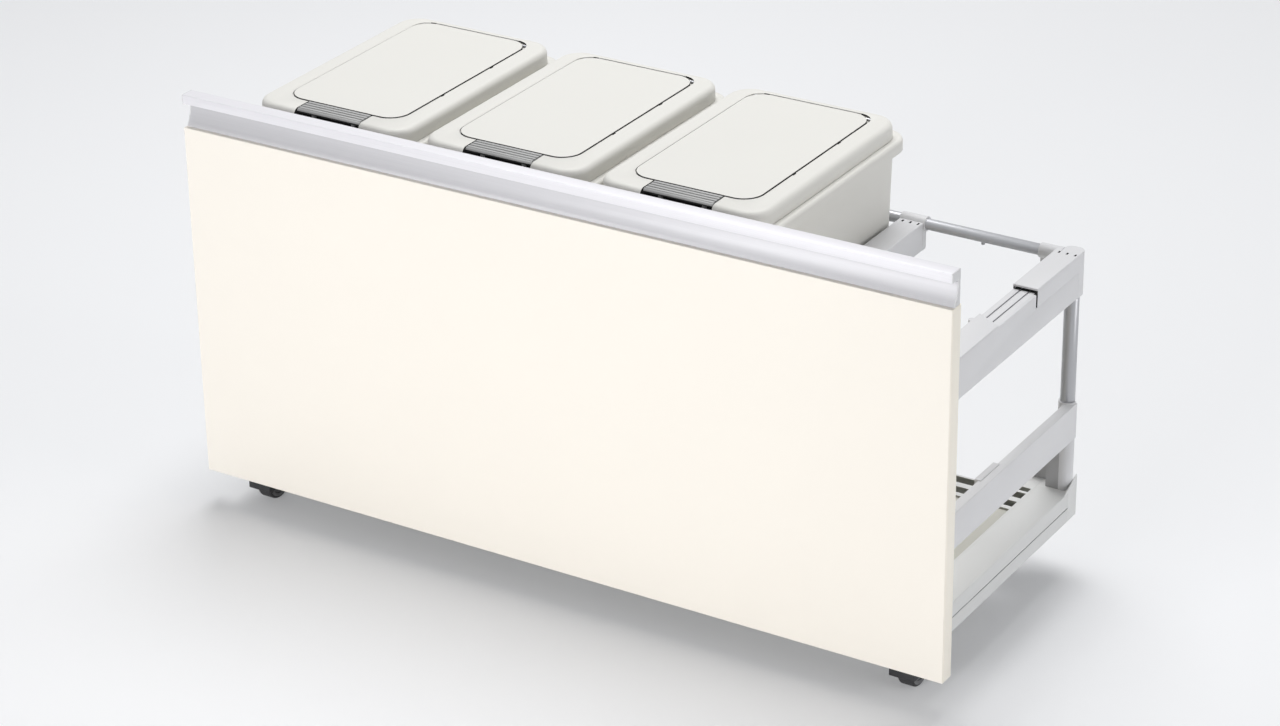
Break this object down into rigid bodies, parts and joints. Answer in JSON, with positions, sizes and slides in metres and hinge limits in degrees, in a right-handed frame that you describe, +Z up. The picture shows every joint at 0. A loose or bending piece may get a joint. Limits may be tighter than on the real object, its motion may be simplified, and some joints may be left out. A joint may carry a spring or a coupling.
{
  "type": "pull-out trash wagon",
  "caption": "Low under-worktop trash wagon on casters: wide cream front with an aluminium grip rail, open grey frame, lidded bins with push-button flaps and a bottle bay at the right.",
  "frame": {"origin": "on the floor under the middle of the overall box", "axes": "+X to the right as seen from the front, along the front panel; +Y from the front to the back; +Z up"},
  "size_m": [0.9, 0.343, 0.479],
  "materials": {
    "board": "matt cream laminate",
    "anodised": "satin anodised",
    "cap_grey": "fine texture",
    "rail_grey": "satin powder coat",
    "fitting_grey": "moulded, fine texture",
    "tube_grey": "satin",
    "steel": "zinc plated",
    "base_grey": "moulded, fine texture",
    "caster_black": "moulded",
    "wheel_grey": "matt",
    "pedal_grey": "moulded",
    "bin_white": "moulded, fine texture",
    "button_grey": "moulded, fine texture"
  },
  "bodies": {
    "frame": {"front_panel": "board", "grip_rail": "anodised", "grip_end_caps": "cap_grey", "upper_rail_left": "rail_grey", "upper_rail_right": "rail_grey", "middle_rail_left": "rail_grey", "middle_rail_right": "rail_grey", "partition_rail": "rail_grey", "rail_bracket_left": "fitting_grey", "rail_bracket_right": "fitting_grey", "rear_joint_left": "fitting_grey", "rear_joint_right": "fitting_grey", "partition_hook": "fitting_grey", "middle_rail_clips": "fitting_grey", "post_cover_left": "fitting_grey", "post_cover_right": "fitting_grey", "rear_tube": "tube_grey", "rear_post_left": "tube_grey", "rear_post_right": "tube_grey", "partition_bracket": "steel", "front_upright_left": "steel", "front_upright_right": "steel", "panel_screws": "steel", "caster_screws": "steel", "base_channel_left": "base_grey", "base_channel_right": "base_grey", "base_cap_left": "base_grey", "base_cap_right": "base_grey", "base_tray": "base_grey", "caster_plates": "caster_black"},
    "fork_front_right": {"caster_fork_front_right": "caster_black", "caster_axle_front_right": "steel"},
    "wheel_front_right": {"caster_wheel_front_right": "wheel_grey"},
    "pedal_front_right": {"lock_pedal_front_right": "pedal_grey"},
    "fork_front_left": {"caster_fork_front_left": "caster_black", "caster_axle_front_left": "steel"},
    "wheel_front_left": {"caster_wheel_front_left": "wheel_grey"},
    "pedal_front_left": {"lock_pedal_front_left": "pedal_grey"},
    "fork_rear_right": {"caster_fork_rear_right": "caster_black", "caster_axle_rear_right": "steel"},
    "wheel_rear_right": {"caster_wheel_rear_right": "wheel_grey"},
    "fork_rear_left": {"caster_fork_rear_left": "caster_black", "caster_axle_rear_left": "steel"},
    "wheel_rear_left": {"caster_wheel_rear_left": "wheel_grey"},
    "bin_1": {"bin_body_1": "bin_white"},
    "lid_1": {"lid_frame_1": "bin_white", "hinge_pin_1": "steel"},
    "flap_1_turning": {"flap_1": "bin_white"},
    "button_1": {"push_button_1": "button_grey"},
    "bin_2": {"bin_body_2": "bin_white"},
    "lid_2": {"lid_frame_2": "bin_white", "hinge_pin_2": "steel"},
    "flap_2_turning": {"flap_2": "bin_white"},
    "button_2": {"push_button_2": "button_grey"},
    "bin_3": {"bin_body_3": "bin_white"},
    "lid_3": {"lid_frame_3": "bin_white", "hinge_pin_3": "steel"},
    "flap_3_turning": {"flap_3": "bin_white"},
    "button_3": {"push_button_3": "button_grey"}
  },
  "joints": [
    {"name": "swivel_front_right", "type": "hinge", "parent": "frame", "child": "fork_front_right", "pos_m": [0.396, -0.11, 0.05], "axis": [0, 0, 1], "continuous": true},
    {"name": "roll_front_right", "type": "hinge", "parent": "fork_front_right", "child": "wheel_front_right", "pos_m": [0.396, -0.127, 0.02], "axis": [1, 0, 0], "continuous": true},
    {"name": "lock_front_right", "type": "hinge", "parent": "fork_front_right", "child": "pedal_front_right", "pos_m": [0.396, -0.127, 0.02], "axis": [1, 0, 0], "range_deg": [0, 10]},
    {"name": "swivel_front_left", "type": "hinge", "parent": "frame", "child": "fork_front_left", "pos_m": [-0.396, -0.11, 0.05], "axis": [0, 0, 1], "continuous": true},
    {"name": "roll_front_left", "type": "hinge", "parent": "fork_front_left", "child": "wheel_front_left", "pos_m": [-0.396, -0.127, 0.02], "axis": [1, 0, 0], "continuous": true},
    {"name": "lock_front_left", "type": "hinge", "parent": "fork_front_left", "child": "pedal_front_left", "pos_m": [-0.396, -0.127, 0.02], "axis": [1, 0, 0], "range_deg": [0, 10]},
    {"name": "swivel_rear_right", "type": "hinge", "parent": "frame", "child": "fork_rear_right", "pos_m": [0.35, 0.1295, 0.05], "axis": [0, 0, 1], "continuous": true},
    {"name": "roll_rear_right", "type": "hinge", "parent": "fork_rear_right", "child": "wheel_rear_right", "pos_m": [0.35, 0.1125, 0.02], "axis": [1, 0, 0], "continuous": true},
    {"name": "swivel_rear_left", "type": "hinge", "parent": "frame", "child": "fork_rear_left", "pos_m": [-0.35, 0.1295, 0.05], "axis": [0, 0, 1], "continuous": true},
    {"name": "roll_rear_left", "type": "hinge", "parent": "fork_rear_left", "child": "wheel_rear_left", "pos_m": [-0.35, 0.1125, 0.02], "axis": [1, 0, 0], "continuous": true},
    {"name": "bin_1_lift", "type": "slide", "parent": "frame", "child": "bin_1", "axis": [0, 0, 1], "range_m": [0, 0.38]},
    {"name": "lid_1_lift", "type": "slide", "parent": "bin_1", "child": "lid_1", "axis": [0, 0, 1], "range_m": [0, 0.08]},
    {"name": "flap_1_hinge", "type": "hinge", "parent": "lid_1", "child": "flap_1_turning", "pos_m": [-0.2925, 0.1403, 0.4705], "axis": [-1, 0, 0], "range_deg": [0, 85]},
    {"name": "button_1_press", "type": "slide", "parent": "lid_1", "child": "button_1", "axis": [0, 0, -1], "range_m": [0, 0.003], "stiffness_N_per_m": 300, "springref_m": -0.003},
    {"name": "bin_2_lift", "type": "slide", "parent": "frame", "child": "bin_2", "axis": [0, 0, 1], "range_m": [0, 0.38]},
    {"name": "lid_2_lift", "type": "slide", "parent": "bin_2", "child": "lid_2", "axis": [0, 0, 1], "range_m": [0, 0.08]},
    {"name": "flap_2_hinge", "type": "hinge", "parent": "lid_2", "child": "flap_2_turning", "pos_m": [-0.0823, 0.1403, 0.4705], "axis": [-1, 0, 0], "range_deg": [0, 85]},
    {"name": "button_2_press", "type": "slide", "parent": "lid_2", "child": "button_2", "axis": [0, 0, -1], "range_m": [0, 0.003], "stiffness_N_per_m": 300, "springref_m": -0.003},
    {"name": "bin_3_lift", "type": "slide", "parent": "frame", "child": "bin_3", "axis": [0, 0, 1], "range_m": [0, 0.38]},
    {"name": "lid_3_lift", "type": "slide", "parent": "bin_3", "child": "lid_3", "axis": [0, 0, 1], "range_m": [0, 0.08]},
    {"name": "flap_3_hinge", "type": "hinge", "parent": "lid_3", "child": "flap_3_turning", "pos_m": [0.1279, 0.1403, 0.4705], "axis": [-1, 0, 0], "range_deg": [0, 85]},
    {"name": "button_3_press", "type": "slide", "parent": "lid_3", "child": "button_3", "axis": [0, 0, -1], "range_m": [0, 0.003], "stiffness_N_per_m": 300, "springref_m": -0.003}
  ]
}
